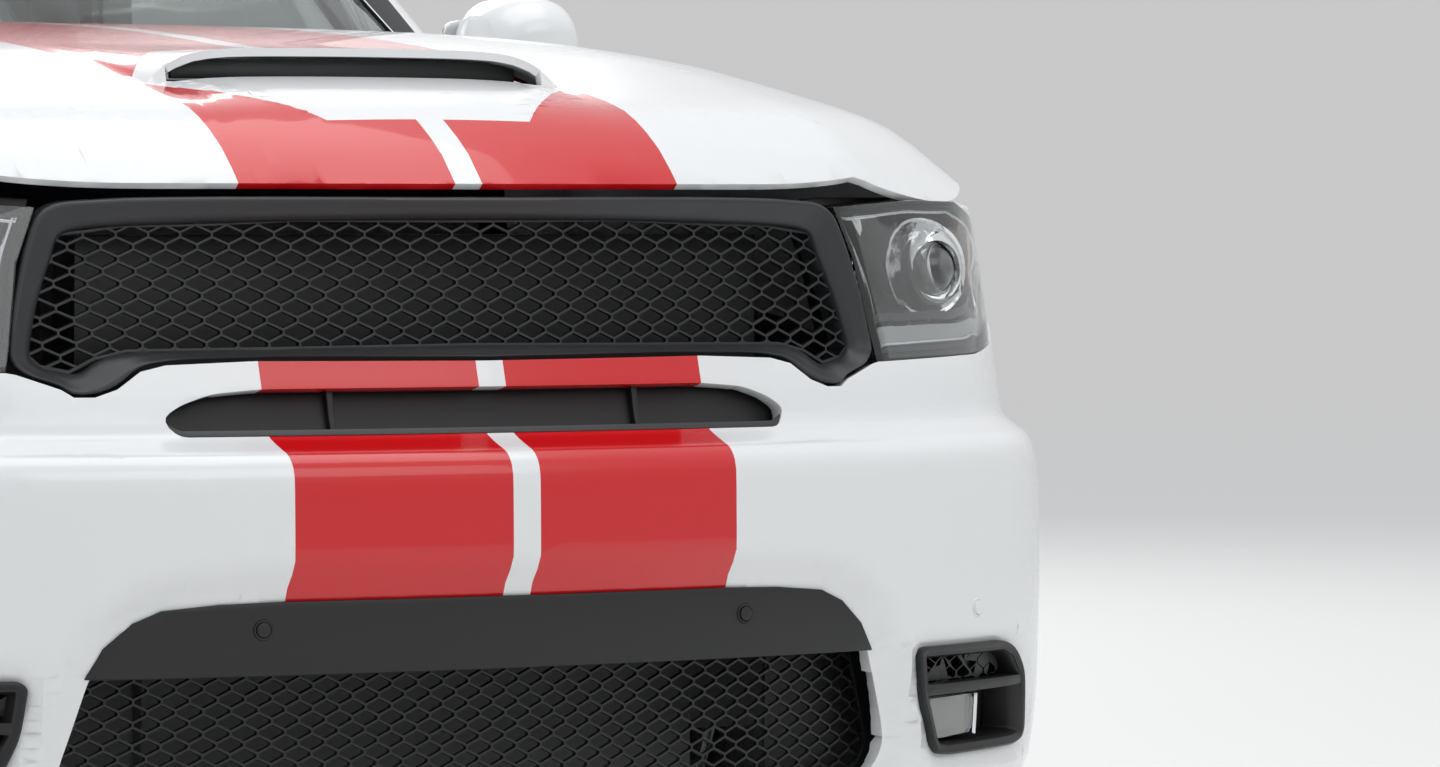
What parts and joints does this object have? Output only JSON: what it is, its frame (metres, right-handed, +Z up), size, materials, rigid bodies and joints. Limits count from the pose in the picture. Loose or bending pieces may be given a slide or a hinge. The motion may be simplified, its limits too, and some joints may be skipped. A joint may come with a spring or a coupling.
{
  "type": "sport utility vehicle",
  "caption": "Full-size sport utility vehicle with opening doors, hood and liftgate, steered front wheels, hexagon mesh grille and two red stripes.",
  "frame": {"origin": "on the ground below the middle of the vehicle's length and width", "axes": "+X forward, +Y to the vehicle's left, +Z up"},
  "size_m": [5.1099, 2.172, 1.801],
  "materials": {
    "white_paint": "gloss",
    "black_plastic": "satin",
    "gloss_black": "gloss",
    "clear_glass": "gloss",
    "dark_glass": "gloss",
    "lamp_red": "gloss",
    "tyre_rubber": "matte",
    "alloy": "satin",
    "steel": "satin",
    "exhaust_steel": "satin",
    "underbody": "matte",
    "seat_leather": "matte",
    "dash_plastic": "matte"
  },
  "bodies": {
    "body": {"body_side_left": "white_paint", "body_side_right": "white_paint", "fixed_glass": "dark_glass", "roof_panel": "white_paint", "fender_left": "white_paint", "fender_right": "white_paint", "lower_mesh": "gloss_black", "cowl": "black_plastic", "front_bumper": "white_paint", "grille_surround": "black_plastic", "grille_mesh": "gloss_black", "lower_grille": "black_plastic", "fog_lamps": "black_plastic", "headlamp_housings": "gloss_black", "headlamp_lenses": "clear_glass", "rear_bumper": "white_paint", "tail_lamps": "lamp_red", "front_suspension": "steel", "rear_suspension": "steel", "floor_pan": "underbody", "wheel_liners": "black_plastic", "powertrain": "steel", "radiator": "underbody", "fuel_tank": "black_plastic", "exhaust": "exhaust_steel", "dashboard": "dash_plastic", "front_seats": "seat_leather", "rear_seats": "seat_leather"},
    "hood": {"hood": "white_paint", "scoop_mesh": "gloss_black"},
    "liftgate": {"liftgate": "white_paint", "liftgate_glass": "dark_glass", "liftgate_lamp": "lamp_red"},
    "steering_wheel": {"steering_wheel": "seat_leather"},
    "door_front_left": {"front_door_left": "white_paint", "front_door_glass_left": "dark_glass", "mirror_left": "white_paint"},
    "door_rear_left": {"rear_door_left": "white_paint", "rear_door_glass_left": "dark_glass"},
    "knuckle_left": {"knuckle_left": "steel"},
    "wheel_front_left": {"tyre_front_left": "tyre_rubber", "wheel_front_left": "alloy"},
    "wheel_rear_left": {"tyre_rear_left": "tyre_rubber", "wheel_rear_left": "alloy"},
    "door_front_right": {"front_door_right": "white_paint", "front_door_glass_right": "dark_glass", "mirror_right": "white_paint"},
    "door_rear_right": {"rear_door_right": "white_paint", "rear_door_glass_right": "dark_glass"},
    "knuckle_right": {"knuckle_right": "steel"},
    "wheel_front_right": {"tyre_front_right": "tyre_rubber", "wheel_front_right": "alloy"},
    "wheel_rear_right": {"tyre_rear_right": "tyre_rubber", "wheel_rear_right": "alloy"}
  },
  "joints": [
    {"name": "door_front_left_hinge", "type": "hinge", "parent": "body", "child": "door_front_left", "pos_m": [1.026, 0.929, 0.7], "axis": [0, 0, -1], "range_deg": [0, 66]},
    {"name": "door_rear_left_hinge", "type": "hinge", "parent": "body", "child": "door_rear_left", "pos_m": [-0.023, 0.929, 0.7], "axis": [0, 0, -1], "range_deg": [0, 70]},
    {"name": "steer_left", "type": "hinge", "parent": "body", "child": "knuckle_left", "pos_m": [1.625, 0.7515, 0.386], "axis": [0, 0, 1], "range_deg": [-33, 33]},
    {"name": "wheel_front_left_spin", "type": "hinge", "parent": "knuckle_left", "child": "wheel_front_left", "pos_m": [1.625, 0.8115, 0.386], "axis": [0, 1, 0], "continuous": true},
    {"name": "wheel_rear_left_spin", "type": "hinge", "parent": "body", "child": "wheel_rear_left", "pos_m": [-1.417, 0.8115, 0.386], "axis": [0, 1, 0], "continuous": true},
    {"name": "door_front_right_hinge", "type": "hinge", "parent": "body", "child": "door_front_right", "pos_m": [1.026, -0.929, 0.7], "axis": [0, 0, 1], "range_deg": [0, 66]},
    {"name": "door_rear_right_hinge", "type": "hinge", "parent": "body", "child": "door_rear_right", "pos_m": [-0.023, -0.929, 0.7], "axis": [0, 0, 1], "range_deg": [0, 70]},
    {"name": "steer_right", "type": "hinge", "parent": "body", "child": "knuckle_right", "pos_m": [1.625, -0.7515, 0.386], "axis": [0, 0, 1], "range_deg": [-33, 33]},
    {"name": "wheel_front_right_spin", "type": "hinge", "parent": "knuckle_right", "child": "wheel_front_right", "pos_m": [1.625, -0.8115, 0.386], "axis": [0, 1, 0], "continuous": true},
    {"name": "wheel_rear_right_spin", "type": "hinge", "parent": "body", "child": "wheel_rear_right", "pos_m": [-1.417, -0.8115, 0.386], "axis": [0, 1, 0], "continuous": true},
    {"name": "hood_hinge", "type": "hinge", "parent": "body", "child": "hood", "pos_m": [1.085, 0, 1.146], "axis": [0, -1, 0], "range_deg": [0, 50]},
    {"name": "liftgate_hinge", "type": "hinge", "parent": "body", "child": "liftgate", "pos_m": [-1.9985, 0, 1.727], "axis": [0, 1, 0], "range_deg": [0, 80]},
    {"name": "steering_wheel_turn", "type": "hinge", "parent": "body", "child": "steering_wheel", "pos_m": [0.64, 0.37, 0.965], "axis": [-0.9135, 0, 0.4067], "range_deg": [-495, 495]}
  ],
  "couplings": [
    {"joint": "steer_right", "follows": "steer_left", "ratio": 1},
    {"joint": "steering_wheel_turn", "follows": "steer_left", "ratio": 15}
  ]
}
